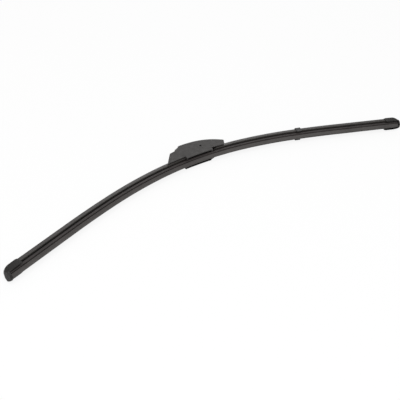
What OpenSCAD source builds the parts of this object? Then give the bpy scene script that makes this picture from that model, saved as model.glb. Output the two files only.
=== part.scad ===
// Flat wiper blade, 22 inch class, with a hook connector, an intermediate clip and two end caps.
// It lies on its side: X runs along the blade towards the end with the clip, Y points away from the
// glass and Z across the blade's width. The origin is the middle of the connector's pivot axis.
// Sections are drawn with x as the height above the rails' underside and y as the half width.

/* [Blade curve] */
// Length of each steel rail, measured along its curve
rail_len = 553; // [460:1:700]
// Half length of the middle bend
bend1_len = 70; // [50:1:80]
// Radius of the middle bend
bend1_r = 438; // [380:1:600]
// Length of the second bend on each side
bend2_len = 60; // [40:1:70]
// Radius of the second bend
bend2_r = 579; // [500:1:900]
// Length of the outer bend on each side
bend3_len = 60; // [40:1:70]
// Radius of the outer bend
bend3_r = 1148; // [900:1:2000]

/* [Rails] */
// Width of one steel rail
rail_w = 3.8; // [3.2:0.1:4.4]
// Thickness of the rails
rail_t = 0.9; // [0.7:0.05:1.2]
// Depth of the locating notch near each rail end
notch_depth = 0.5; // [0.3:0.05:0.7]
// Length of the locating notch
notch_len = 3; // [2:0.1:5]
// Play between rails, rubber and covers
fit_gap = 0.1; // [0.05:0.01:0.15]

/* [Wiping rubber] */
// Width of the neck between the rails
neck_w = 2.6; // [2.2:0.1:3.2]
// Width of the head above the rails
head_w = 4.8; // [4.4:0.1:5.4]
// Thickness of the head
head_t = 1; // [0.8:0.1:1.3]
// Width of the throat below the rails
throat_w = 6.6; // [6:0.1:7]
// Depth of the throat
throat_t = 1.9; // [1.6:0.1:2.2]
// Width of the shoulder
shoulder_w = 8.3; // [7.4:0.1:9]
// Depth of the shoulder
shoulder_t = 2.6; // [2:0.1:3]
// Thickness of the hinge web between shoulder and lip
web_t = 0.9; // [0.6:0.1:1.4]
// Height of the hinge web
web_h = 0.7; // [0.5:0.1:1]
// Width of the lip's wings
wing_w = 5.8; // [4.6:0.1:6.4]
// Height of the lip, from its wings to its edge
lip_h = 3.2; // [2.4:0.1:3.6]
// Thickness of the wiping edge
edge_t = 0.7; // [0.5:0.05:1]
// How far the rubber stands out past each rail end
rubber_over = 0.8; // [0.4:0.1:1.5]

/* [Covers] */
// Wall beside the rails
cover_wall = 0.6; // [0.5:0.05:0.9]
// Thickness of the lips that hold the rails from below
cover_lip_t = 0.7; // [0.5:0.05:0.9]
// Height of the cover's side edge above the rails' underside
cover_side_h = 3.2; // [2.8:0.1:3.8]
// Height of the cover's ridge above the rails' underside
cover_ridge_h = 5.5; // [4.8:0.1:6]
// Curve of the flanks between side edge and ridge: 1 is straight, more is hollow
flank_power = 1.4; // [1:0.1:2]

/* [End caps] */
// Length of an end cap
cap_len = 19; // [16:0.5:26]
// Wall of an end cap
cap_wall = 1; // [0.8:0.1:1.4]
// Thickness of its end wall
cap_end_t = 2.4; // [2:0.1:4.5]
// Gap between the rubber's end and the end wall
cap_end_gap = 0.4; // [0.1:0.05:0.8]
// Depth of its skirts below the rails' underside
cap_skirt = 4.1; // [2:0.1:4.5]
// How far the end wall stays short of the wiping edge
cap_short = 0.1; // [0:0.1:1]
// Length over which the cap's sides round off into its end
cap_round = 9; // [5:0.5:12]
// Squareness of that rounding: 2 is an ellipse, more is squarer
cap_square = 3; // [2:0.2:6]
// Length of the taper where the cap begins
cap_taper = 2; // [1:0.5:4]

/* [Clip] */
// Distance from the blade's middle to the middle of the clip
clip_at = 139.5; // [100:0.5:200]
// Length of the clip
clip_len = 7; // [6:0.5:14]
// Wall of the clip
clip_wall = 0.9; // [0.6:0.1:1.2]
// Depth of its skirts below the rails' underside
clip_skirt = 2.8; // [2.2:0.1:4]

/* [Connector housing] */
// Distance from the blade's middle to the pivot axis, towards the clip
pivot_ahead = 9.6; // [7:0.1:10]
// Height of the pivot axis above the rails' underside
pivot_rise = 9; // [8.6:0.1:11]
// Wall of the housing beside the bracket
shell_wall = 1; // [0.8:0.1:1.6]
// Thickness of its roof, floors and bulkheads
shell_roof = 1.6; // [1.2:0.1:2.2]
// Distance from the blade's middle to the nose's tip
nose_reach = 44.4; // [40:0.1:52]
// Distance from the blade's middle to the tail's upper corner
tail_reach = 41.3; // [38:0.1:50]
// Slope of the nose's front face
nose_slope = 48; // [42:1:60]
// Height where the front face ends and the steps begin
nose_face_h = 13; // [10:0.1:13.5]
// Length of the stepped nose's lower tread
tread_run = 7.4; // [5:0.1:8]
// Slope of the lower tread
tread_slope = 11; // [6:1:14]
// Length of the upper tread
upper_tread_run = 5; // [4:0.1:5.5]
// Slope of the upper tread
upper_tread_slope = 20; // [14:1:22]
// Length of each of the two risers
riser_run = 1.9; // [1.5:0.1:2.4]
// Slope of the risers
riser_slope = 46; // [36:1:50]
// Height of the roof above the rails' underside, where it begins behind the steps
roof_h = 20.7; // [20:0.1:23]
// Height of the tail's upper corner above the rails' underside at the blade's middle
tail_top_h = 5.7; // [5:0.1:8]
// Shape of the roof's fall: 2 is a parabola, more keeps it level for longer
roof_power = 2.8; // [2:0.1:3.4]
// Lean of the tail's end face
tail_lean = 4.2; // [2:0.1:6]
// Height of the wings' lower edge above the rails' underside
wing_edge_h = 0.2; // [0:0.1:0.5]
// Half length of the skirts beside the bracket
skirt_half = 18.5; // [17.6:0.1:22]
// Depth of the skirts below the rails' underside
skirt_depth = 3.3; // [2:0.1:4]
// Width of the lowered rim round the side faces
rim_w = 1.8; // [1:0.1:2.5]
// Depth of that rim
rim_t = 0.4; // [0.2:0.05:0.6]
// Radius of the round hole over each rivet head
peep_r = 1.35; // [1:0.05:2]
// Gap between the housing and what it covers
shell_gap = 0.25; // [0.15:0.05:0.4]
// Gap between the wings' inner faces and the covers' sides
wing_gap = 0.95; // [0.5:0.05:1.1]

/* [Bracket and rivet] */
// Thickness of the bracket's sheet steel
sheet_t = 0.9; // [0.7:0.05:1.1]
// Length of each claw along the rails
claw_len = 8; // [5:0.5:9]
// Radius of the rivet
rivet_r = 1.5; // [1.3:0.05:1.8]
// Radius of the rivet's countersunk heads
rivet_head_r = 2.3; // [2:0.05:2.6]
// Radius of the round end of the ears
ear_r = 4.6; // [4:0.1:5]

/* [Hook adapter] */
// Width of the hook arm that the adapter takes
arm_w = 9; // [8:0.1:10]
// Thickness of the hook arm
arm_t = 3; // [2:0.1:3.4]
// Play of the arm between the cheeks, on each side
arm_play = 0.15; // [0.1:0.05:0.3]
// Thickness of the cheeks
cheek_t = 1.2; // [1:0.1:1.5]
// Inside height of the hook, which is the height of the block
hook_gap = 8; // [7.4:0.1:8.6]
// Play between the adapter's cheeks and the bracket's ears
turn_gap = 0.15; // [0.1:0.05:0.25]
// Running clearance of the rivet in the adapter, on the radius
bore_gap = 0.05; // [0.02:0.01:0.08]
// Distance from the pivot to the rear of the block
block_back = 7; // [6:0.1:7]
// Length of the release tongue behind the block
tongue_len = 9; // [6:0.1:10]

/* [Hidden] */
// Segments of a full turn: fine for the long bends, coarser for small rounds
bend_fn = 1440;
round_fn = 64;
// Longer than any cut
far = 60;
to_deg = 180 / PI;

// The blade's curve: it falls away on both sides of its middle, in three bends and a straight end
bend_ends = [bend1_len, bend1_len + bend2_len, bend1_len + bend2_len + bend3_len];
turn1 = bend1_len / bend1_r * to_deg;
turn2 = turn1 + bend2_len / bend2_r * to_deg;
turn3 = turn2 + bend3_len / bend3_r * to_deg;
function slope_of(s) = s <= bend_ends[0] ? s / bend1_r * to_deg
    : s <= bend_ends[1] ? turn1 + (s - bend_ends[0]) / bend2_r * to_deg
    : s <= bend_ends[2] ? turn2 + (s - bend_ends[1]) / bend3_r * to_deg : turn3;
function slope(s) = sign(s) * slope_of(abs(s));
function outward(t) = [sin(t), cos(t)];
function onward(t) = [cos(t), -sin(t)];
function flip(p) = [-p[0], p[1]];
centre1 = [0, -bend1_r];
centre2 = centre1 + (bend1_r - bend2_r) * outward(turn1);
centre3 = centre2 + (bend2_r - bend3_r) * outward(turn2);
bend_centres = [flip(centre3), flip(centre2), centre1, centre2, centre3];
bend_radii = [bend3_r, bend2_r, bend1_r, bend2_r, bend3_r];
stations = [-bend_ends[2], -bend_ends[1], -bend_ends[0], bend_ends[0], bend_ends[1], bend_ends[2]];
bend_stop = centre3 + bend3_r * outward(turn3);
function point_right(s) = s <= bend_ends[0] ? centre1 + bend1_r * outward(slope_of(s))
    : s <= bend_ends[1] ? centre2 + bend2_r * outward(slope_of(s))
    : s <= bend_ends[2] ? centre3 + bend3_r * outward(slope_of(s))
    : bend_stop + (s - bend_ends[2]) * onward(turn3);
function point(s) = s < 0 ? flip(point_right(-s)) : point_right(s);
function above(s, n) = point(s) + n * outward(slope(s));

// Heights above the rails' underside
head_floor = rail_t + fit_gap;
head_top = head_floor + head_t;
throat_floor = -fit_gap - throat_t;
shoulder_floor = throat_floor - shoulder_t;
wing_top = shoulder_floor - web_h;
edge_n = wing_top - lip_h;
cover_foot = -fit_gap - cover_lip_t;

// Small chamfer of moulded and extruded edges
edge_break = 0.3;

// Half widths
rail_in = neck_w / 2 + fit_gap;
rail_out = rail_in + rail_w;
cover_in = rail_out + fit_gap;
cover_half = cover_in + cover_wall;
lip_in = max(throat_w / 2, neck_w / 2 + 1) + 0.3;
head_gap = 0.2;
head_room = head_w / 2 + head_gap;
hat_half = head_room + 1;
cheek_in = arm_w / 2 + arm_play;
cheek_out = cheek_in + cheek_t;
ear_in = cheek_out + turn_gap;
claw_in = rail_out + fit_gap;
claw_out = claw_in + sheet_t;
ear_out = max(ear_in, claw_out - sheet_t + 0.1) + sheet_t;
pocket_half = ear_out + fit_gap;
tunnel_half = cover_half + wing_gap;
housing_half = max(pocket_half, tunnel_half) + shell_wall;
cap_half = cover_half + fit_gap + cap_wall;

// Places along the blade
rail_end = rail_len / 2;
rubber_end = rail_end + rubber_over;
cap_wall_at = rubber_end + cap_end_gap;
cap_end = cap_wall_at + cap_end_t;
cap_start = cap_end - cap_len;
cover_start = skirt_half + 0.4;
cover_end = rail_end - 1.5;
bracket_half = skirt_half - shell_roof - shell_gap;

// Heights of the connector
saddle_floor = rail_t + fit_gap;
hat_floor = head_top + fit_gap;
hat_top = hat_floor + sheet_t;
deck_n = cover_ridge_h + shell_gap + shell_roof;

// Moves every point of a closed outline outwards by d, with the outline drawn anticlockwise
function edge_out(a, b) = [b[1] - a[1], a[0] - b[0]] / norm(b - a);
function moved(a, b, c, d) = let(m = edge_out(a, b), k = edge_out(b, c)) b + d * (m + k) / (1 + m * k);
function grown(p, d) = [for (i = [0:len(p) - 1])
    moved(p[(i + len(p) - 1) % len(p)], p[i], p[(i + 1) % len(p)], d)];
// The same for an open chain of points
function grown_chain(p, d) = [for (i = [0:len(p) - 1])
    i == 0 ? p[0] + d * edge_out(p[0], p[1])
    : i == len(p) - 1 ? p[i] + d * edge_out(p[i - 1], p[i]) : moved(p[i - 1], p[i], p[i + 1], d)];
function reversed(p) = [for (i = [len(p) - 1:-1:0]) p[i]];
// A half section and its mirror image across the middle plane, as one closed outline
function both(half) = let(edge = [for (p = half) if (p[1] > 0) p])
    concat(edge, [for (p = reversed(edge)) [p[0], -p[1]]]);

// Sweeps a section along the middle bend, between two stations on it or beyond one of its ends
module swept(s0, s1) {
    for (k = [0:4]) {
        lo = max(s0, stations[k]);
        hi = min(s1, stations[k + 1]);
        if (hi > lo)
            translate(bend_centres[k])
                rotate(90 - slope(hi))
                    rotate_extrude(angle = slope(hi) - slope(lo), $fn = bend_fn)
                        translate([bend_radii[k], 0])
                            children();
    }
}
// Stations of the rings of a long sweep: close together in the bends, none within the straight ends
ring_step = 10;
function rings(s0, s1) = concat([s0],
    [for (k = [0:4]) let(lo = max(s0, stations[k]), hi = min(s1, stations[k + 1]),
        count = ceil((hi - lo) / ring_step))
        if (hi > lo) for (i = [lo > s0 ? 0 : 1:hi < s1 ? count - 1 : count]) lo + (hi - lo) * i / count],
    s1 > stations[5] ? [stations[5], s1] : []);
// One closed solid that follows the whole blade between two stations
module long_sweep(section, s0, s1) {
    at = rings(s0, s1);
    n = len(section);
    last = len(at) - 1;
    polyhedron(
        [for (s = at) for (p = section) let(q = above(s, p[0])) [q[0], q[1], p[1]]],
        concat([[for (j = [0:n - 1]) j]], [[for (j = [n - 1:-1:0]) last * n + j]],
            [for (i = [0:last - 1]) for (j = [0:n - 1]) let(k = (j + 1) % n)
                [i * n + j, (i + 1) * n + j, (i + 1) * n + k, i * n + k]]));
}
module at_station(s) {
    translate(point(s))
        rotate(-slope(s))
            children();
}
module along_x(length) {
    rotate([90, 0, 90])
        linear_extrude(length)
            children();
}
module on_blade() {
    translate([-pivot_ahead, -pivot_rise, 0])
        children();
}
module plate(p, width) {
    linear_extrude(width, center = true)
        polygon(p);
}

// The rubber: head, neck between the rails, throat, shoulder, hinge web and tapered lip
lip_steps = 4;
wing_edge = 0.25;
lip_power = 1.6;
function lip_half(u) = edge_t / 2 + (wing_w / 2 - edge_t / 2) * pow(1 - u, lip_power);
rubber_half = concat(
    [[head_top, 0], [head_top, head_w / 2 - edge_break], [head_top - edge_break, head_w / 2],
        [head_floor, head_w / 2], [head_floor, neck_w / 2], [-fit_gap, neck_w / 2],
        [-fit_gap, throat_w / 2], [throat_floor + edge_break, throat_w / 2],
        [throat_floor, shoulder_w / 2], [shoulder_floor + edge_break, shoulder_w / 2],
        [shoulder_floor, shoulder_w / 2 - edge_break], [shoulder_floor, web_t / 2],
        [wing_top, web_t / 2]],
    [for (i = [0:lip_steps]) let(u = i / lip_steps)
        [wing_top - wing_edge - u * (lip_h - wing_edge), lip_half(u)]],
    [[edge_n, 0]]);
module wiping_rubber() {
    color([0.13, 0.13, 0.13])
        on_blade()
            long_sweep(both(rubber_half), -rubber_end, rubber_end);
}

// Side outline of a strip that follows the blade between two heights
function ribbon(at, n0, n1) = concat([for (s = at) above(s, n0)], reversed([for (s = at) above(s, n1)]));
// One rail, with a notch in its outer edge near each end
module rail(side) {
    notch_at = rail_end - 2 * notch_len;
    on_blade()
        difference() {
            translate([0, 0, side * (rail_in + rail_out) / 2])
                plate(ribbon(rings(-rail_end, rail_end), 0, rail_t), rail_w);
            for (end = [-1, 1])
                at_station(end * notch_at)
                    translate([-notch_len / 2, -rail_t, side * rail_out - notch_depth])
                        cube([notch_len, 3 * rail_t, 2 * notch_depth]);
        }
}
module upper_rail() {
    color([0.36, 0.37, 0.38])
        rail(1);
}
module lower_rail() {
    color([0.36, 0.37, 0.38])
        rail(-1);
}

// A cover: a hollow-flanked spoiler that grips both rails from outside
ridge_flat = 0.6;
flank_steps = 5;
function flank_n(w) = cover_side_h
    + (cover_ridge_h - cover_side_h) * pow((cover_half - w) / (cover_half - ridge_flat), flank_power);
cover_skin = concat(
    [[cover_ridge_h, 0]],
    [for (i = [0:flank_steps]) let(w = ridge_flat + (cover_half - ridge_flat) * i / flank_steps)
        [flank_n(w), w]],
    [[cover_foot + edge_break, cover_half], [cover_foot, cover_half - edge_break],
        [cover_foot, lip_in]]);
cover_half_section = concat(cover_skin,
    [[-fit_gap, lip_in], [-fit_gap, cover_in], [head_floor, cover_in], [head_floor, head_room],
        [head_top + head_gap, head_room], [head_top + head_gap, 0]]);
module cover() {
    long_sweep(both(cover_half_section), cover_start, cover_end);
}
module left_cover() {
    color([0.2, 0.2, 0.21])
        on_blade()
            mirror([1, 0, 0])
                cover();
}
module right_cover() {
    color([0.2, 0.2, 0.21])
        on_blade()
            cover();
}

// An end cap: a hood over the cover with a deep rounded end wall that closes the blade
cap_top = cover_ridge_h + fit_gap + cap_wall;
cap_eave = cover_side_h + 0.1;
cap_floor = edge_n + cap_short;
cap_wall_x = cap_len - cap_end_t;
cap_ridge = 1.2;
taper_drop = 0.6 * cap_wall;
// The end wall narrows towards the wiping edge like the rubber behind it
wall_foot = 2.1;
wall_bend = [0.8 * cap_floor, 0.65 * cap_half];
cap_section = both([[cap_top, 0], [cap_top, cap_ridge],
    [(cap_top + cap_eave) / 2 + 0.3, cap_half * 0.6], [cap_eave + 0.7, cap_half - 0.8],
    [cap_eave, cap_half], [-cap_skirt, cap_half], wall_bend, [cap_floor, wall_foot]]);
// Roundings of the end's upper and lower corners, seen from the side
brow = [7.5, 8];
heel = [cap_end_t, 2.8];
function quarter(x, n, r, from) = [for (a = [from:15:from + 90]) [x + r[0] * cos(a), n + r[1] * sin(a)]];
cap_side = concat(
    [[0, -cap_skirt], [cap_wall_x, -cap_skirt]],
    quarter(cap_wall_x, cap_floor + heel[1], heel, -90),
    quarter(cap_len - brow[0], cap_top - brow[1], brow, 0),
    [[cap_taper, cap_top], [0, cap_top - taper_drop]]);
function side_half(u) = cap_half * pow(1 - pow(u, cap_square), 1 / cap_square);
cap_plan = both(concat([[0, cap_half - taper_drop], [cap_taper, cap_half]],
    [for (u = [0, 0.3, 0.5, 0.65, 0.77, 0.86, 0.92, 0.96, 0.985, 0.997])
        [cap_len - cap_round * (1 - u), side_half(u)]], [[cap_len, 0.2 * cap_half]]));
module end_cap() {
    at_station(cap_start)
        difference() {
            intersection() {
                along_x(cap_len)
                    polygon(cap_section);
                plate(cap_side, 2 * cap_half + 1);
                rotate([90, 0, 0])
                    plate(cap_plan, 4 * cap_half);
            }
            translate([-1, 0, 0])
                along_x(cover_seat_x + 1)
                    polygon(hollow_for_cover(fit_gap));
            along_x(cap_wall_x)
                polygon(hollow_for_rubber);
        }
}
// Past the cover's end the hollow narrows to the rails and the rubber
cover_seat_x = cover_end + cap_end_gap - cap_start;
hollow_for_rubber = both([[head_top + head_gap, 0], [head_top + head_gap, cover_in],
    [-far / 2, cover_in]]);
// The space that a cover takes, with a gap, open towards the glass
function hollow_for_cover(gap) = both(concat(
    [for (p = grown_chain(cover_skin, gap)) if (p[0] > cover_foot + edge_break) p],
    [[-far / 2, cover_half + gap]]));
module left_end_cap() {
    color([0.12, 0.12, 0.12])
        on_blade()
            mirror([1, 0, 0])
                end_cap();
}
module right_end_cap() {
    color([0.12, 0.12, 0.12])
        on_blade()
            end_cap();
}

// The clip: a band round the cover that hooks under its lips, with a skirt down each side
hook_in = lip_in + 0.9;
clip_skin = [for (p = cover_skin) p[1] > lip_in || p[0] > 0 ? p : [cover_foot, hook_in]];
clip_in = cover_half + fit_gap;
hook_floor = cover_foot - fit_gap - clip_wall;
clip_outside = concat([for (p = grown_chain(clip_skin, fit_gap + clip_wall)) if (p[0] > 0) p],
    [[-clip_skirt, clip_in + clip_wall], [-clip_skirt, clip_in], [hook_floor, clip_in],
        [hook_floor, hook_in]]);
module rail_clip() {
    color([0.12, 0.12, 0.12])
        on_blade()
            swept(clip_at - clip_len / 2, clip_at + clip_len / 2)
                polygon(both(concat(clip_outside, reversed(grown_chain(clip_skin, fit_gap)))));
}

// The bracket: a pressed steel saddle with four claws under the rails and two ears for the rivet
claw_hold = 1.05;
bracket_section = both([[hat_top, 0], [hat_top, hat_half], [saddle_floor + sheet_t, hat_half],
    [saddle_floor + sheet_t, ear_out], [saddle_floor, ear_out], [saddle_floor, claw_out],
    [-fit_gap - sheet_t, claw_out], [-fit_gap - sheet_t, claw_in - claw_hold], [-fit_gap, claw_in - claw_hold],
    [-fit_gap, claw_in], [saddle_floor, claw_in], [saddle_floor, head_room], [hat_floor, head_room],
    [hat_floor, 0]]);
window_half = cheek_in + arm_play;
window_front = pivot_ahead - 8;
window_back = min(pivot_ahead + 4.4, bracket_half - 2);
ear_spread = 2;
module ear_outline() {
    translate([pivot_ahead, pivot_rise])
        circle(ear_r, $fn = round_fn);
    polygon([[pivot_ahead - ear_r - ear_spread, saddle_floor], [pivot_ahead - ear_r, pivot_rise],
        [pivot_ahead + ear_r, pivot_rise], [pivot_ahead + ear_r + ear_spread, saddle_floor]]);
}
module steel_bracket() {
    gap_half = bracket_half - claw_len;
    color([0.3, 0.3, 0.31])
        on_blade()
            difference() {
                union() {
                    swept(-bracket_half, bracket_half)
                        polygon(bracket_section);
                    for (side = [-1, 1])
                        translate([0, 0, side * (ear_out - sheet_t / 2)])
                            linear_extrude(sheet_t, center = true)
                                ear_outline();
                }
                // Room between the claws
                translate([-gap_half, -far - 0.01, -far / 2])
                    cube([2 * gap_half, far + saddle_floor - 0.3, far]);
                // Window over the rubber, where the hook's short leg dips
                translate([window_front, -far / 2, -window_half])
                    cube([window_back - window_front, far, 2 * window_half]);
                // Rivet holes with countersinks
                translate([pivot_ahead, pivot_rise, 0])
                    rotate_extrude($fn = round_fn)
                        polygon(rivet_half(0.02));
            }
}

// Half outline of the rivet, with a gap round it
rivet_cone = min(0.6 * sheet_t, rivet_head_r - rivet_r);
function rivet_half(gap) = [[0, -ear_out - gap], [rivet_head_r + gap, -ear_out - gap],
    [rivet_head_r + gap, -ear_out + 0.05], [rivet_r + gap, -ear_out + rivet_cone],
    [rivet_r + gap, ear_out - rivet_cone], [rivet_head_r + gap, ear_out - 0.05],
    [rivet_head_r + gap, ear_out + gap], [0, ear_out + gap]];
module pivot_rivet() {
    color([0.6, 0.6, 0.6])
        rotate_extrude($fn = round_fn)
            polygon(rivet_half(0));
}

// The adapter: two cheeks joined by a block that the arm's hook wraps round
block_floor = -(rivet_r + bore_gap + 1.2);
block_top = block_floor + hook_gap;
block_r = hook_gap / 2;
block_front = -3;
cheek_top = block_top + arm_t - 0.25;
cheek_front = -10;
cheek_back = block_back + 6;
cheek_floor = -4.3;
cheek_outline = [[cheek_front, cheek_floor + 2], [cheek_front / 2, cheek_floor],
    [-cheek_front / 2, cheek_floor], [block_back - 0.8, cheek_floor + 1.4],
    [block_back, cheek_floor + 3.7], [cheek_back, cheek_floor + 5.5],
    [cheek_back, cheek_top - 2], [cheek_back - 5, cheek_top], [cheek_front + 4, cheek_top],
    [cheek_front, cheek_top - 3.5]];
// The release tongue, with a finger ridge at its end
tongue_floor = 0.9;
tongue_t = 1.4;
tongue_end = block_back + tongue_len;
tongue_ridge = tongue_floor + tongue_t + 1;
tongue_side = 1.5;
module hook_adapter() {
    color([0.16, 0.16, 0.17])
        difference() {
            union() {
                for (side = [-1, 1])
                    translate([0, 0, side * (cheek_in + cheek_t / 2)])
                        plate(cheek_outline, cheek_t);
                translate([block_front, block_floor + block_r, 0])
                    cylinder(r = block_r, h = 2 * cheek_in, center = true, $fn = round_fn);
                plate([[block_front, block_floor], [block_back, block_floor], [block_back, block_top],
                    [block_front, block_top]], 2 * cheek_in);
                plate([[block_back, tongue_floor], [tongue_end, tongue_floor], [tongue_end, tongue_ridge],
                    [tongue_end - tongue_t, tongue_ridge], [tongue_end - 2, tongue_floor + tongue_t],
                    [block_back, tongue_floor + tongue_t]], 2 * (cheek_in - tongue_side));
            }
            cylinder(r = rivet_r + bore_gap, h = far, center = true, $fn = round_fn);
        }
}

// The housing's side outline, from the nose over the roof to the tail
nose_tip = above(-nose_reach, wing_edge_h);
nose_top = [nose_tip[0] + (nose_face_h - nose_tip[1]) / tan(nose_slope), nose_face_h];
tread = tread_run * [1, tan(tread_slope)];
upper_tread = upper_tread_run * [1, tan(upper_tread_slope)];
riser = riser_run * [1, tan(riser_slope)];
riser_top = nose_top + tread + riser;
steps_end = riser_top + upper_tread + riser;
// The roof begins a short slope behind the steps and falls to the tail's upper corner
slope_run = 2;
roof_start = steps_end[0] + slope_run;
roof_steps = 24;
function roof_y(x) = roof_h
    - (roof_h - tail_top_h) * pow((x - roof_start) / (tail_reach - roof_start), roof_power);
tail_top = [tail_reach, tail_top_h];
tail_tip = above(tail_reach - tail_lean, wing_edge_h);
upper_chain = concat(
    [nose_top, nose_top + tread, riser_top, riser_top + upper_tread, steps_end],
    [for (i = [0:roof_steps]) let(x = roof_start + (tail_reach - roof_start) * i / roof_steps)
        [x, roof_y(x)]]);
lower_steps = 10;
function edge_run(s0, s1, n) = [for (i = [0:lower_steps]) above(s0 + (s1 - s0) * i / lower_steps, n)];
lower_chain = concat(edge_run(tail_reach - tail_lean, skirt_half, wing_edge_h),
    edge_run(skirt_half, -skirt_half, -skirt_depth), edge_run(-skirt_half, -nose_reach, wing_edge_h));
side_outline = reversed(concat(upper_chain, lower_chain));
// The side face's outline, carried on downwards so that its rim stays off the lower edge
face_outline = reversed(concat([nose_tip - 20 * [1 / tan(nose_slope), 1]], upper_chain,
    [tail_tip + (tail_tip - tail_top) * 3]));
well_front = pivot_ahead - 19;
well_back = bracket_half + shell_gap;
channel_half = tunnel_half + 0.05;
nose_ribs = 2;
first_bay = 8;

module connector_housing() {
    color([0.24, 0.25, 0.26])
        on_blade()
            difference() {
                plate(side_outline, 2 * housing_half);
                side_rims();
                cover_tunnels();
                bracket_pocket();
                arm_channel();
                nose_bays();
                translate([pivot_ahead, pivot_rise, 0])
                    cylinder(r = peep_r, h = far, center = true, $fn = round_fn);
            }
}
// Lowered rims round both side faces
module side_rims() {
    for (side = [-1, 1])
        translate([0, 0, side * (housing_half + far / 2 - rim_t)])
            linear_extrude(far, center = true)
                difference() {
                    polygon(grown(face_outline, 2));
                    polygon(grown(face_outline, -rim_w));
                }
}
// Tunnels under both wings: close over the covers' flanks, with a shadow gap beside their sides
wing_hollow = both(concat(
    [for (p = grown_chain(cover_skin, shell_gap)) if (p[0] > cover_side_h) p],
    [[cover_side_h, tunnel_half], [-far / 2, tunnel_half]]));
module cover_tunnels() {
    for (side = [0, 1])
        mirror([side, 0, 0])
            swept(skirt_half, far)
                polygon(wing_hollow);
}
// Room for the bracket from below, and for the rails and the rubber through the bulkheads
module bracket_pocket() {
    swept(-well_back, well_back)
        polygon(both([[hat_top + shell_gap, 0], [hat_top + shell_gap, pocket_half],
            [-far / 2, pocket_half]]));
    swept(-skirt_half - 1, skirt_half + 1)
        polygon(both([[head_top + shell_gap, 0], [head_top + shell_gap, cover_in + fit_gap],
            [-far / 2, cover_in + fit_gap]]));
}
// The open channel for the hook and the arm: deep at the bracket, shallow over the tail
module arm_channel() {
    translate([well_front, hat_top, -pocket_half])
        cube([well_back - well_front, far, 2 * pocket_half]);
    swept(well_back - 2, far)
        polygon(both([[far, 0], [far, channel_half], [deck_n, channel_half], [deck_n, 0]]));
}
// Hollow nose in bays between cross ribs
module nose_bays() {
    bay_start = -nose_reach - 1;
    bay_end = well_front - shell_roof;
    bay = (bay_end - bay_start - first_bay) / (nose_ribs + 1);
    intersection() {
        plate(grown(side_outline, -shell_roof), 2 * tunnel_half);
        for (i = [0:nose_ribs])
            translate([bay_start + first_bay + i * bay, 0, -far / 2])
                cube([bay - (i < nose_ribs ? shell_wall : 0), far, far]);
    }
}

wiping_rubber();
upper_rail();
lower_rail();
left_cover();
right_cover();
left_end_cap();
right_end_cap();
rail_clip();
steel_bracket();
connector_housing();
pivot_rivet();
hook_adapter();
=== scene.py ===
import math
import bmesh
import bpy
from mathutils import Matrix, Vector


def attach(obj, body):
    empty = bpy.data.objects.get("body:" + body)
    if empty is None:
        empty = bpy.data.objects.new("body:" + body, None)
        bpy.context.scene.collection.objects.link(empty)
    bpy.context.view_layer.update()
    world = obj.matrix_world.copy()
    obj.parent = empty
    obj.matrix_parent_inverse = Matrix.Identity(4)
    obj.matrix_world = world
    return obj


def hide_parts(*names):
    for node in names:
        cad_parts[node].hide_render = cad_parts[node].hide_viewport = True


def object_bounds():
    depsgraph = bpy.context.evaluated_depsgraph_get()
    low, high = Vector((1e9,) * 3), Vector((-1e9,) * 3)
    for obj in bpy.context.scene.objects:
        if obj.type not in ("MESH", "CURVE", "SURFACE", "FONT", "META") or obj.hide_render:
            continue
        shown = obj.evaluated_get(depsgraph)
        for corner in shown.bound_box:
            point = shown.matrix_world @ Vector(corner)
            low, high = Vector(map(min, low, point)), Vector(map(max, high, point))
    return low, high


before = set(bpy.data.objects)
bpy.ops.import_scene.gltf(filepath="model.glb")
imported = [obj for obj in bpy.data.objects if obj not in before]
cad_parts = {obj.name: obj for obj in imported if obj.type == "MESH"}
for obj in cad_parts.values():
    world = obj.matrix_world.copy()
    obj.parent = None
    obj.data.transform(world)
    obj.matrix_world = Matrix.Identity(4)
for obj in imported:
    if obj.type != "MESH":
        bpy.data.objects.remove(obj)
cad_low, cad_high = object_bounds()

# Lengths are in millimetres and become metres as they are placed
MM = 0.001

# The photograph's view: where the camera stands, as seen from the point that it looks at, and in
# metres the nearest and farthest that it sees
LOOK_AT = Vector((-22.73, -37.59, -37.65)) * MM
CAMERA_DISTANCE = 931.5 * MM
CAMERA_AZIMUTH = math.radians(-41.27)
CAMERA_ELEVATION = math.radians(38.69)
CAMERA_ROLL = math.radians(7.43)
LENS = 72.88
SENSOR = 36.0
NEAREST, FARTHEST = 0.05, 50

# The blade's curve: length and radius of the three bends on each side of the middle
BENDS = ((70, 438), (60, 579), (60, 1148))
CURVED = sum(length for length, _ in BENDS)
PIVOT_AHEAD = 9.6
PIVOT_RISE = 9.0

# How finely the curve and the sections' roundings are drawn
RING_STEP = 4.0
ARC_STEPS = 4

# Where a half section meets its mirror image: a hair off the middle, so that no two points are equal
AXIS = 1e-4

# The rails: heights are above their underside, and widths are half widths, in every section
RAIL_TOP, RAIL_HALF = 1.0, 5.3
RAIL_SLACK = 0.1

# The rubber from its head, which is above the rails, to the lip's wiping edge
HEAD_TOP, HEAD_HALF, HEAD_ROUND = 2.0, 2.4, 0.3
NECK_HALF, NECK_ROUND = 1.3, 0.1
THROAT_FLOOR, THROAT_HALF, THROAT_ROUND = -2.0, 3.3, 0.15
SHOULDER_FLOOR, SHOULDER_HALF, SHOULDER_ROUND = -4.6, 4.15, 0.3
WEB_FLOOR, WEB_HALF, WEB_ROUND = -5.3, 0.45, 0.2
LIP_TOP, LIP_FLOOR, LIP_HALF, LIP_ROUND = -5.55, -8.5, 2.9, 0.08
LIP_EDGE_HALF, LIP_POWER, LIP_STEPS = 0.35, 1.6, 12
RUBBER_END = 277.3
COATED_BELOW = -4.75
# Above this height the rubber gets a near-black colour: painted shade for its recessed throat
SHADED_ABOVE = -2.05

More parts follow.
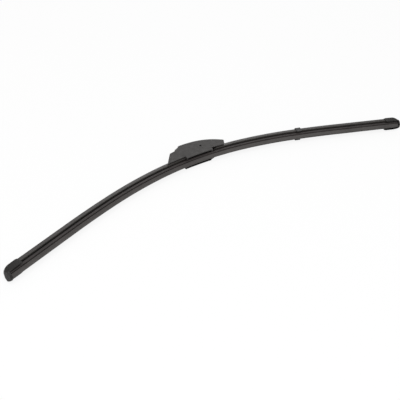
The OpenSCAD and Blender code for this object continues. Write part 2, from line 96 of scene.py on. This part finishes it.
# The covers: a ridge, hollow flanks, sides that grip the rails, and room for the rubber's head
RIDGE_TOP, RIDGE_HALF, RIDGE_ROUND = 5.5, 0.6, 0.2
SIDE_TOP, SIDE_FLOOR, SIDE_HALF = 3.2, -0.8, 5.9
SIDE_ROUND, SIDE_FLOOR_ROUND = 0.25, 0.3
GRIP_HALF, GRIP_ROUND = 3.6, 0.12
ROOM_TOP, ROOM_HALF, ROOM_ROUND = 2.2, 2.6, 0.1
FLANK_POWER, FLANK_STEPS = 1.4, 14
COVER_START = 18.9
COVER_END = 272.5

# The end caps: a shell over the cover, open below, with a solid end that closes it
CAP_GAP = 0.1
CAP_WALL = 1.0
CAP_LENGTH = 19.0
CAP_END = 280.05
CAP_TOP = RIDGE_TOP + CAP_GAP + CAP_WALL
CAP_HALF = SIDE_HALF + CAP_GAP + CAP_WALL
CAP_EAVE = SIDE_TOP + CAP_GAP
CAP_FLOOR = LIP_FLOOR + CAP_GAP
SKIRT_FLOOR = -4.1
SEAT_GAP = 0.4
MOUTH_PART, MOUTH_TAPER = 2.0, 0.06

# The caps' outer section: where each stretch ends, as a measure or a share, and its rounding
CROWN_HALF, CROWN_ROUND = 1.2, 4.0
BROW_LIFT, BROW_SHARE, BROW_ROUND = 0.3, 0.6, 10.0
TEMPLE_LIFT, TEMPLE_INSET, TEMPLE_ROUND = 0.7, 0.8, 6.0
EAVE_ROUND = 1.2
SKIRT_ROUND = 3.0
CHEEK_DEPTH_SHARE, CHEEK_SHARE, CHEEK_ROUND = 0.8, 0.65, 8.0
SOLE_HALF, SOLE_ROUND = 2.1, 3.0

# What cuts the caps' hollow: it starts before the mouth, reaches past the cap below and beside it, and
# follows every third point of the cover's flank
OPEN_BELOW, OPEN_BESIDE = -30.0, 3 * CAP_HALF
CUTTER_START = CAP_END - 1.3 * CAP_LENGTH
FLANK_STRIDE = 3
HOLLOW_ROUND = 0.2

# The caps' dome: how far from the end the crown, sides and sole fall, and what is left of them there
CAP_CORE = -1.0
CROWN_RUN = 8.0
CROWN_FALL, CROWN_FALL_RUN = 0.05, 14.0
FLANK_RUN, FLANK_LEFT = 9.0, 0.75
SOLE_RUN, SOLE_LEFT = 4.5, 0.875
DOME_RUN = 13.0
DOME_STEPS = 16

# The angles from which an edge is sharp, on CAD pieces and caps and on swept sections, the angle up to
# which neighbouring faces are one, and in metres how near two points are one
SHARP = math.radians(28)
SECTION_SHARP = math.radians(35)
FLAT = math.radians(0.4)
SAME_PLACE = 2e-6

# Roundings of moulded and pressed edges
BEVEL_STEPS = 3
CAP_BEVEL = 0.15
CLIP_BEVEL = 0.15
HOUSING_BEVEL = 0.15
ADAPTER_BEVEL = 0.2
BRACKET_BEVEL = 0.12
RIVET_BEVEL = 0.06
RAIL_BEVEL = 0.1

# Colours as linear values
RUBBER = (0.034, 0.029, 0.028)
# Painted shade: near black for the rubber's recessed throat and the parts under the covers, where shade
# falls
PAINTED_GROOVE_SHADE = (0.006, 0.006, 0.006)
COATING = (0.049, 0.044, 0.042)
COVER = (0.036, 0.0325, 0.030)
CAP = (0.0185, 0.017, 0.016)
CLIP = (0.026, 0.025, 0.024)
HOUSING = (0.035, 0.0325, 0.031)
ADAPTER = (0.030, 0.030, 0.030)
BLACK_STEEL = (0.035, 0.035, 0.036)
DARK_RIVET = (0.06, 0.06, 0.058)
FLOOR = (0.86, 0.86, 0.86)
FLOOR_ROUGHNESS = 0.9

# How noises are made and spread: the roughness of all, and the part of their range that is used
NOISE_ROUGHNESS = 0.55
NOISE_LOW, NOISE_HIGH = 0.3, 0.7
EVEN = (1, 1, 1)

# Wear that every surface has, with each noise's scale and detail: uneven patches, settled dust and
# fine scuffs, the last two drawn out along the blade
PATCH_SCALE, PATCH_DETAIL, PATCH_DARK, PATCH_LIGHT = 45, 4, 0.82, 1.18
DUST_SCALE, DUST_DETAIL, DUST_STRETCH = 260, 5, (0.6, 1, 1)
DUST_SMOOTH, DUST_ROUGH = -0.07, 0.09
SCUFF_SCALE, SCUFF_DETAIL, SCUFF_STRETCH = 700, 3, (0.12, 1, 1)
SCUFF_FROM, SCUFF_TO, SCUFF_SHARE, SCUFF_LIGHT = 0.60, 0.72, 0.22, 2.2

# Bumps: a grain, whose scale and depth in metres are each surface's own, and an extrusion's streaks
GRAIN_DETAIL, GRAIN_STRENGTH = 3, 0.6
STREAK_SCALE, STREAK_DETAIL, STREAK_STRETCH, STREAK_STRENGTH = 2600, 2, (0.01, 1, 1), 0.5

# The light: an even world, four soft lamps with place, aim, size and power, in metres and watts
AMBIENT = 0.40
FLOOR_SIZE = 8
FLOOR_GLOW = 0.88
MIDDLE = (0, -0.03, 0)
LEFT_END = (-0.28, -0.08, 0)
LAMPS = {
    "key": ((-0.6, -0.4, 1.4), MIDDLE, 1.2, 13),
    "fill": ((0.0, -0.8, 1.0), MIDDLE, 1.0, 4.0),
    "back": ((0.7, 0.9, 0.8), MIDDLE, 1.0, 3.5),
    "left": ((-1.3, -0.35, 0.2), LEFT_END, 0.5, 3.3),
}


def mapped_noise(tree, stretch, scale, detail, coordinates="Object"):
    """A noise in the piece's own coordinates, stretched along each axis."""
    place = tree.nodes.new("ShaderNodeTexCoord")
    mapping = tree.nodes.new("ShaderNodeMapping")
    mapping.inputs["Scale"].default_value = stretch
    noise = tree.nodes.new("ShaderNodeTexNoise")
    noise.inputs["Scale"].default_value = scale
    noise.inputs["Detail"].default_value = detail
    noise.inputs["Roughness"].default_value = NOISE_ROUGHNESS
    tree.links.new(place.outputs[coordinates], mapping.inputs["Vector"])
    tree.links.new(mapping.outputs["Vector"], noise.inputs["Vector"])
    return noise.outputs["Fac"]


def spread(tree, value, low, high, start=NOISE_LOW, stop=NOISE_HIGH):
    """Takes the part of a value from start to stop to the range from low to high."""
    span = tree.nodes.new("ShaderNodeMapRange")
    span.inputs["From Min"].default_value = start
    span.inputs["From Max"].default_value = stop
    span.inputs["To Min"].default_value = low
    span.inputs["To Max"].default_value = high
    tree.links.new(value, span.inputs["Value"])
    return span.outputs["Result"]


def tinted(colour, share):
    return (*[channel * share for channel in colour], 1)


def blended(tree, factor, first, second):
    """Mixes two colours, each a value or another node's output."""
    mix = tree.nodes.new("ShaderNodeMix")
    mix.data_type = "RGBA"
    tree.links.new(factor, mix.inputs["Factor"])
    for socket, colour in (("A", first), ("B", second)):
        if isinstance(colour, tuple):
            mix.inputs[socket].default_value = colour
        else:
            tree.links.new(colour, mix.inputs[socket])
    return mix.outputs["Result"]


def bumped(tree, height, distance, strength, below=None):
    """Bumps of a depth in metres, on top of the bumps below."""
    bump = tree.nodes.new("ShaderNodeBump")
    bump.inputs["Distance"].default_value = distance
    bump.inputs["Strength"].default_value = strength
    tree.links.new(height, bump.inputs["Height"])
    if below:
        tree.links.new(below, bump.inputs["Normal"])
    return bump.outputs["Normal"]


def surface(name, colour, roughness, grain, depth, streaks=0.0, metal=0.0, specular=0.5):
    """A worn surface: a grain of a scale and a depth, streaks of a depth, patches, dust and scuffs."""
    material = bpy.data.materials.new(name)
    material.use_nodes = True
    tree = material.node_tree
    shader = tree.nodes["Principled BSDF"]
    shader.inputs["Metallic"].default_value = metal
    shader.inputs["Specular IOR Level"].default_value = specular
    patches = spread(tree, mapped_noise(tree, EVEN, PATCH_SCALE, PATCH_DETAIL), 0, 1)
    uneven = blended(tree, patches, tinted(colour, PATCH_DARK), tinted(colour, PATCH_LIGHT))
    marks = mapped_noise(tree, SCUFF_STRETCH, SCUFF_SCALE, SCUFF_DETAIL)
    scuffs = spread(tree, marks, 0, SCUFF_SHARE, SCUFF_FROM, SCUFF_TO)
    worn = blended(tree, scuffs, uneven, tinted(colour, SCUFF_LIGHT))
    tree.links.new(worn, shader.inputs["Base Color"])
    dust = mapped_noise(tree, DUST_STRETCH, DUST_SCALE, DUST_DETAIL)
    rough = spread(tree, dust, roughness + DUST_SMOOTH, roughness + DUST_ROUGH)
    tree.links.new(rough, shader.inputs["Roughness"])
    grains = mapped_noise(tree, EVEN, grain, GRAIN_DETAIL)
    normal = bumped(tree, grains, depth, GRAIN_STRENGTH)
    if streaks:
        lines = mapped_noise(tree, STREAK_STRETCH, STREAK_SCALE, STREAK_DETAIL, "UV")
        normal = bumped(tree, lines, streaks, STREAK_STRENGTH, normal)
    tree.links.new(normal, shader.inputs["Normal"])
    return material


def seen_white(tree):
    """One for rays that come straight from the camera or through clear pieces, otherwise nought."""
    path = tree.nodes.new("ShaderNodeLightPath")
    either = tree.nodes.new("ShaderNodeMath")
    either.operation = "MAXIMUM"
    tree.links.new(path.outputs["Is Camera Ray"], either.inputs[0])
    tree.links.new(path.outputs["Is Transmission Ray"], either.inputs[1])
    return either.outputs["Value"]


def floor_material():
    """A pale floor that keeps the shadow and shows white to the camera."""
    material = bpy.data.materials.new("pale_floor")
    material.use_nodes = True
    tree = material.node_tree
    matt = tree.nodes["Principled BSDF"]
    matt.inputs["Base Color"].default_value = (*FLOOR, 1)
    matt.inputs["Roughness"].default_value = FLOOR_ROUGHNESS
    matt.inputs["Specular IOR Level"].default_value = 0.0
    glow = tree.nodes.new("ShaderNodeEmission")
    glow.inputs["Color"].default_value = (1, 1, 1, 1)
    glow.inputs["Strength"].default_value = 1.0
    share = spread(tree, seen_white(tree), 0, FLOOR_GLOW, 0, 1)
    mix = tree.nodes.new("ShaderNodeMixShader")
    tree.links.new(share, mix.inputs["Fac"])
    tree.links.new(matt.outputs["BSDF"], mix.inputs[1])
    tree.links.new(glow.outputs["Emission"], mix.inputs[2])
    tree.links.new(mix.outputs["Shader"], tree.nodes["Material Output"].inputs["Surface"])
    return material


def slope(s):
    """The blade's slope at a station, in radians."""
    turned, start = 0.0, 0.0
    for length, radius in BENDS:
        turned += min(max(abs(s) - start, 0), length) / radius
        start += length
    return math.copysign(turned, s)


def middle(s):
    """The point of the rails' underside at a station, in the blade's own frame."""
    x, y, start, turned = 0.0, 0.0, 0.0, 0.0
    for length, radius in BENDS:
        run = min(max(abs(s) - start, 0), length)
        after = turned + run / radius
        x += radius * (math.sin(after) - math.sin(turned))
        y += radius * (math.cos(after) - math.cos(turned))
        start, turned = start + length, after
    rest = max(abs(s) - start, 0)
    return math.copysign(x + rest * math.cos(turned), s), y - rest * math.sin(turned)


def placed(s, n, w):
    """Station, height above the rails' underside and half width as a point of the row frame."""
    x, y = middle(s)
    angle = slope(s)
    return Vector((x + n * math.sin(angle) - PIVOT_AHEAD, y + n * math.cos(angle) - PIVOT_RISE, w)) * MM


def stations(start, end):
    """Ring places: close together in the bends and far apart in the straight ends."""
    low, high = max(start, -CURVED), min(end, CURVED)
    count = max(int((high - low) / RING_STEP), 1)
    rings = [low + (high - low) * i / count for i in range(count + 1)]
    return [start] * (start < low) + rings + [end] * (end > high)


def rounded(corners):
    """A chain of (height, half width, radius) corners as points, with an arc at each rounded one."""
    points = []
    for i, (n, w, radius) in enumerate(corners):
        corner = Vector((n, w))
        if not radius:
            points.append(corner)
            continue
        before = (Vector(corners[i - 1][:2]) - corner).normalized()
        after = (Vector(corners[i + 1][:2]) - corner).normalized()
        half = before.angle(after) / 2
        centre = corner + (before + after).normalized() * radius / math.sin(half)
        reach = radius / math.tan(half)
        first = corner + before * reach - centre
        turn = first.angle_signed(corner + after * reach - centre)
        for k in range(ARC_STEPS + 1):
            spin = Matrix.Rotation(-turn * k / ARC_STEPS, 2)
            points.append(centre + spin @ first)
    return points


def both_sides(half):
    """A half section as (height, width) points, with its mirror image."""
    return [(p[0], p[1]) for p in half] + [(p[0], -p[1]) for p in reversed(half)]


def skin(rings, count):
    """Faces round closed rings of points, in order, and the two ends."""
    sides = []
    for i in range(rings - 1):
        for j in range(count):
            k = (j + 1) % count
            sides.append((i * count + j, i * count + k, (i + 1) * count + k, (i + 1) * count + j))
    last = (rings - 1) * count
    return sides + [tuple(reversed(range(count))), tuple(range(last, last + count))]


def outward(mesh):
    """Turns all faces of a closed mesh to face out."""
    work = bmesh.new()
    work.from_mesh(mesh)
    bmesh.ops.recalc_face_normals(work, faces=work.faces)
    work.to_mesh(mesh)
    work.free()


def merged(mesh):
    """Joins a mesh's equal points and flat neighbouring faces."""
    work = bmesh.new()
    work.from_mesh(mesh)
    bmesh.ops.remove_doubles(work, verts=work.verts, dist=SAME_PLACE)
    bmesh.ops.dissolve_limit(work, angle_limit=FLAT, verts=work.verts, edges=work.edges)
    work.to_mesh(mesh)
    work.free()


def added(name, mesh):
    piece = bpy.data.objects.new(name, mesh)
    bpy.context.scene.collection.objects.link(piece)
    return piece


def applied(piece):
    """Turns a piece's modifiers into its mesh."""
    evaluated = piece.evaluated_get(bpy.context.evaluated_depsgraph_get())
    final = bpy.data.meshes.new_from_object(evaluated)
    piece.modifiers.clear()
    piece.data = final


def softened(piece, bevel):
    """Rounds the sharp edges of a piece and evens its shading."""
    piece.data.shade_smooth()
    rounding = piece.modifiers.new("rounding", "BEVEL")
    rounding.width = bevel * MM
    rounding.segments = BEVEL_STEPS
    rounding.limit_method = "ANGLE"
    rounding.angle_limit = SHARP
    piece.modifiers.new("even", "WEIGHTED_NORMAL").keep_sharp = True
    applied(piece)


def finished(piece, node, body):
    """Puts a piece in a CAD node's place."""
    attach(piece, body)
    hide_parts(node)


def coated(piece, material):
    piece.data.materials.clear()
    piece.data.materials.append(material)


def refined(node, body, material, bevel):
    """A copy of a CAD node with its edges rounded as moulding or pressing leaves them."""
    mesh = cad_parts[node].data.copy()
    merged(mesh)
    piece = added(node + "_finished", mesh)
    softened(piece, bevel)
    coated(piece, material)
    finished(piece, node, body)


def lofted(name, rings):
    """A closed solid through sections of the same count of points."""
    mesh = bpy.data.meshes.new(name)
    mesh.from_pydata([point for ring in rings for point in ring], [], skin(len(rings), len(rings[0])))
    outward(mesh)
    return added(name, mesh)


def swept(name, half, start, end, materials, zone=lambda height: 0):
    """A section and its mirror image carried along the blade.

    Its UV map is the way along the blade and round the section. The last two faces are the ends.
    """
    outline = both_sides(half)
    rings = stations(start, end)
    count = len(outline)
    around = [0.0]
    for i in range(count):
        around.append(around[-1] + (Vector(outline[(i + 1) % count]) - Vector(outline[i])).length)
    piece = lofted(name, [[placed(s, n, w) for n, w in outline] for s in rings])
    mesh = piece.data
    for material in materials:
        mesh.materials.append(material)
    ways = mesh.uv_layers.new(name="along").data
    for face in mesh.polygons:
        if face.index >= count * (len(rings) - 1):
            continue
        side = face.index % count
        face.material_index = zone((outline[side][0] + outline[(side + 1) % count][0]) / 2)
        for loop in face.loop_indices:
            ring, point = divmod(mesh.loops[loop].vertex_index, count)
            way = around[side if point == side else side + 1]
            ways[loop].uv = (rings[ring] * MM, way * MM)
    mesh.shade_smooth()
    mesh.set_sharp_from_angle(angle=SECTION_SHARP)
    return piece


def rubber_zone(height):
    """The material's number: bare rubber, the coated lip, or near-black painted shade on the recessed
    throat and the parts under the covers.
    """
    if height > SHADED_ABOVE:
        return 2
    return int(height < COATED_BELOW)


def lip_flank():
    """The lip's hollow side from its root to its wiping edge."""
    points = []
    for i in range(1, LIP_STEPS + 1):
        u = i / LIP_STEPS
        half = LIP_EDGE_HALF + (LIP_HALF - LIP_EDGE_HALF) * (1 - u) ** LIP_POWER
        points.append((LIP_TOP + (LIP_FLOOR - LIP_TOP) * u, half, 0))
    return points


def add_rubber(body, coating, groove_shade):
    """The rubber: head, neck, throat, shoulder, hinge web and the coated lip."""
    corners = [(HEAD_TOP, AXIS, 0), (HEAD_TOP, HEAD_HALF, HEAD_ROUND),
               (RAIL_TOP, HEAD_HALF, NECK_ROUND), (RAIL_TOP, NECK_HALF, NECK_ROUND),
               (-RAIL_SLACK, NECK_HALF, NECK_ROUND), (-RAIL_SLACK, THROAT_HALF, THROAT_ROUND),
               (THROAT_FLOOR, THROAT_HALF, SHOULDER_ROUND),
               (THROAT_FLOOR, SHOULDER_HALF, SHOULDER_ROUND),
               (SHOULDER_FLOOR, SHOULDER_HALF, SHOULDER_ROUND),
               (SHOULDER_FLOOR, WEB_HALF, WEB_ROUND), (WEB_FLOOR, WEB_HALF, WEB_ROUND),
               (WEB_FLOOR, LIP_HALF, LIP_ROUND), (LIP_TOP, LIP_HALF, 0)]
    half = rounded(corners + lip_flank())
    materials = [body, coating, groove_shade]
    piece = swept("wiping_rubber_finished", half, -RUBBER_END, RUBBER_END, materials, rubber_zone)
    finished(piece, "wiping_rubber", "blade")


def cover_flank():
    """The cover's hollow flank from its ridge to its side, with no radii."""
    points = []
    for i in range(1, FLANK_STEPS):
        out = i / FLANK_STEPS
        n = SIDE_TOP + (RIDGE_TOP - SIDE_TOP) * (1 - out) ** FLANK_POWER
        points.append((n, RIDGE_HALF + (SIDE_HALF - RIDGE_HALF) * out, 0))
    return points


def add_cover(side, name, material):
    """One cover with its hollow flanks, gripping lips and rounded side edge."""
    corners = [(RIDGE_TOP, AXIS, 0), (RIDGE_TOP, RIDGE_HALF, RIDGE_ROUND)] + cover_flank() + [
        (SIDE_TOP, SIDE_HALF, SIDE_ROUND), (SIDE_FLOOR, SIDE_HALF, SIDE_FLOOR_ROUND),
        (SIDE_FLOOR, GRIP_HALF, GRIP_ROUND), (-RAIL_SLACK, GRIP_HALF, GRIP_ROUND),
        (-RAIL_SLACK, RAIL_HALF, 0), (RAIL_TOP, RAIL_HALF, 0),
        (RAIL_TOP, ROOM_HALF, ROOM_ROUND), (ROOM_TOP, ROOM_HALF, 0), (ROOM_TOP, AXIS, 0)]
    start, end = sorted((side * COVER_START, side * COVER_END))
    piece = swept(name + "_finished", rounded(corners), start, end, [material])
    finished(piece, name, "blade")


def cap_section():
    """An end cap's outer section: shoulders, sides and the sole that narrows to the wiping edge."""
    brow = (CAP_TOP + CAP_EAVE) / 2 + BROW_LIFT
    return [(CAP_TOP, AXIS, 0), (CAP_TOP, CROWN_HALF, CROWN_ROUND),
            (brow, BROW_SHARE * CAP_HALF, BROW_ROUND),
            (CAP_EAVE + TEMPLE_LIFT, CAP_HALF - TEMPLE_INSET, TEMPLE_ROUND),
            (CAP_EAVE, CAP_HALF, EAVE_ROUND), (SKIRT_FLOOR, CAP_HALF, SKIRT_ROUND),
            (CHEEK_DEPTH_SHARE * CAP_FLOOR, CHEEK_SHARE * CAP_HALF, CHEEK_ROUND),
            (CAP_FLOOR, SOLE_HALF, SOLE_ROUND), (CAP_FLOOR, AXIS, 0)]


def cap_hollows():
    """What is cut from a cap: the cover's seat, the rubber's seat and all below the skirts."""
    top = RIDGE_TOP + CAP_GAP
    inner = SIDE_HALF + CAP_GAP
    shell = [(top, AXIS, 0), (top, RIDGE_HALF + CAP_GAP, HOLLOW_ROUND)]
    shell += [(n + CAP_GAP, w + CAP_GAP, 0) for n, w, _ in cover_flank()[FLANK_STRIDE::FLANK_STRIDE]]
    shell += [(CAP_EAVE, inner, HOLLOW_ROUND), (OPEN_BELOW, inner, 0)]
    core = [(ROOM_TOP, AXIS, 0), (ROOM_TOP, RAIL_HALF, 0), (OPEN_BELOW, RAIL_HALF, 0)]
    below = [(SKIRT_FLOOR, AXIS, 0), (SKIRT_FLOOR, OPEN_BESIDE, 0), (OPEN_BELOW, OPEN_BESIDE, 0)]
    foot = [(OPEN_BELOW, AXIS, 0)]
    cover_seat = COVER_END + SEAT_GAP
    rubber_seat = RUBBER_END + SEAT_GAP
    return ((shell + foot, cover_seat), (core + foot, rubber_seat), (below + foot, rubber_seat))


def fallen(reach, run):
    """A quarter ellipse: nought at the cap's end and one where its rounding starts."""
    return math.sqrt(1 - max(1 - reach / run, 0) ** 2)


def domed(section, reach):
    """A cap's section drawn in towards the blade's core, most above and less beside and below."""
    mouth = 1 - MOUTH_TAPER * max(reach - CAP_LENGTH + MOUTH_PART, 0) / MOUTH_PART
    crown = mouth * fallen(reach, CROWN_RUN) * (1 - CROWN_FALL * max(1 - reach / CROWN_FALL_RUN, 0))
    flank = mouth * (FLANK_LEFT + (1 - FLANK_LEFT) * fallen(reach, FLANK_RUN))
    sole = SOLE_LEFT + (1 - SOLE_LEFT) * fallen(reach, SOLE_RUN)
    ring = []
    for n, w in section:
        above = max(n - CAP_CORE, 0) / (CAP_TOP - CAP_CORE)
        height = CAP_CORE + (n - CAP_CORE) * (crown if above else sole)
        ring.append((height, w * (flank + (crown - flank) * above)))
    return ring


def add_cap(side, name, material):
    """An end cap whose crown and shoulders fall in a dome to its end."""
    section = both_sides(rounded(cap_section()))
    reaches = [DOME_RUN * (1 - math.cos(math.pi / 2 * i / DOME_STEPS)) for i in range(DOME_STEPS + 1)]
    rings = []
    for reach in reaches + [CAP_LENGTH - MOUTH_PART, CAP_LENGTH]:
        rings.append([placed(side * (CAP_END - reach), n, w) for n, w in domed(section, reach)])
    piece = lofted(name + "_finished", rings)
    cutters = []
    for corners, seat in cap_hollows():
        ring = both_sides(rounded(corners))
        ends = [[placed(side * s, n, w) for n, w in ring] for s in (CUTTER_START, seat)]
        cutters.append(lofted(f"{name}_hollow_{len(cutters)}", ends))
    for cutter in cutters:
        cut = piece.modifiers.new(cutter.name, "BOOLEAN")
        cut.operation = "DIFFERENCE"
        cut.solver = "EXACT"
        cut.object = cutter
    applied(piece)
    for cutter in cutters:
        bpy.data.objects.remove(cutter)
    merged(piece.data)
    softened(piece, CAP_BEVEL)
    coated(piece, material)
    finished(piece, name, "blade")


def add_camera():
    data = bpy.data.cameras.new("photo_view")
    data.lens = LENS
    data.sensor_width = SENSOR
    data.clip_start = NEAREST
    data.clip_end = FARTHEST
    camera = added("photo_view", data)
    back = Vector((math.sin(CAMERA_AZIMUTH) * math.cos(CAMERA_ELEVATION),
                   -math.cos(CAMERA_AZIMUTH) * math.cos(CAMERA_ELEVATION),
                   math.sin(CAMERA_ELEVATION)))
    level = back.to_track_quat("Z", "Y").to_matrix()
    turn = Matrix.Rotation(CAMERA_ROLL, 3, "Z")
    camera.matrix_world = Matrix.LocRotScale(LOOK_AT + CAMERA_DISTANCE * back, level @ turn, None)
    bpy.context.scene.camera = camera


def add_lamps():
    for name, (place, aim, size, power) in LAMPS.items():
        data = bpy.data.lights.new(name, "AREA")
        data.shape = "DISK"
        data.size = size
        data.energy = power
        lamp = added(name, data)
        lamp.location = place
        lamp.rotation_euler = (Vector(aim) - Vector(place)).to_track_quat("-Z", "Y").to_euler()
        lamp.visible_camera = False


def add_world():
    """Soft light from all around that shows as white to the camera."""
    world = bpy.data.worlds.new("studio")
    bpy.context.scene.world = world
    world.use_nodes = True
    tree = world.node_tree
    background = tree.nodes["Background"]
    background.inputs["Color"].default_value = (1, 1, 1, 1)
    strength = spread(tree, seen_white(tree), AMBIENT, 1, 0, 1)
    tree.links.new(strength, background.inputs["Strength"])


def add_floor():
    bpy.ops.mesh.primitive_plane_add(size=FLOOR_SIZE, location=(0, 0, cad_low.z))
    floor = bpy.context.object
    floor.name = "floor"
    floor.data.materials.append(floor_material())


def dress_blade():
    """Rubber, covers, caps, clip and rails, each with its own finish."""
    rubber = surface("moulded_rubber", RUBBER, roughness=0.5, grain=5200, depth=2e-5,
                     streaks=2e-5, specular=0.3)
    # Painted shade: the rubber above SHADED_ABOVE is near black, standing in for the shade in its
    # throat
    groove_shade = surface("groove_painted_shade", PAINTED_GROOVE_SHADE, roughness=0.6, grain=5200, depth=2e-5, specular=0.1)
    coating = surface("coated_lip", COATING, roughness=0.45, grain=5200, depth=2e-5, streaks=3e-5)
    cover = surface("extruded_cover", COVER, roughness=0.40, grain=4200, depth=1e-5, streaks=2e-5)
    cap = surface("moulded_cap", CAP, roughness=0.5, grain=3600, depth=4e-5, specular=0.25)
    clip = surface("moulded_clip", CLIP, roughness=0.45, grain=3600, depth=4e-5, specular=0.4)
    steel = surface("rail_steel", BLACK_STEEL, roughness=0.35, grain=2400, depth=2e-5)
    add_rubber(rubber, coating, groove_shade)
    for side, end in ((-1, "left"), (1, "right")):
        add_cover(side, end + "_cover", cover)
        add_cap(side, end + "_end_cap", cap)
    refined("rail_clip", "blade", clip, CLIP_BEVEL)
    for node in ("upper_rail", "lower_rail"):
        refined(node, "blade", steel, RAIL_BEVEL)


def dress_connector():
    """Housing, bracket, rivet and the adapter that turns on it."""
    housing = surface("moulded_housing", HOUSING, roughness=0.46, grain=3000, depth=5e-5, specular=0.3)
    adapter = surface("moulded_adapter", ADAPTER, roughness=0.42, grain=3200, depth=4e-5)
    steel = surface("bracket_steel", BLACK_STEEL, roughness=0.35, grain=2400, depth=2e-5)
    rivet = surface("rivet_steel", DARK_RIVET, roughness=0.38, grain=2600, depth=1e-5, metal=1.0)
    refined("connector_housing", "blade", housing, HOUSING_BEVEL)
    refined("hook_adapter", "adapter", adapter, ADAPTER_BEVEL)
    refined("steel_bracket", "blade", steel, BRACKET_BEVEL)
    refined("pivot_rivet", "blade", rivet, RIVET_BEVEL)


add_camera()
add_world()
add_floor()
add_lamps()
dress_blade()
dress_connector()
bpy.context.scene.view_settings.view_transform = "Standard"
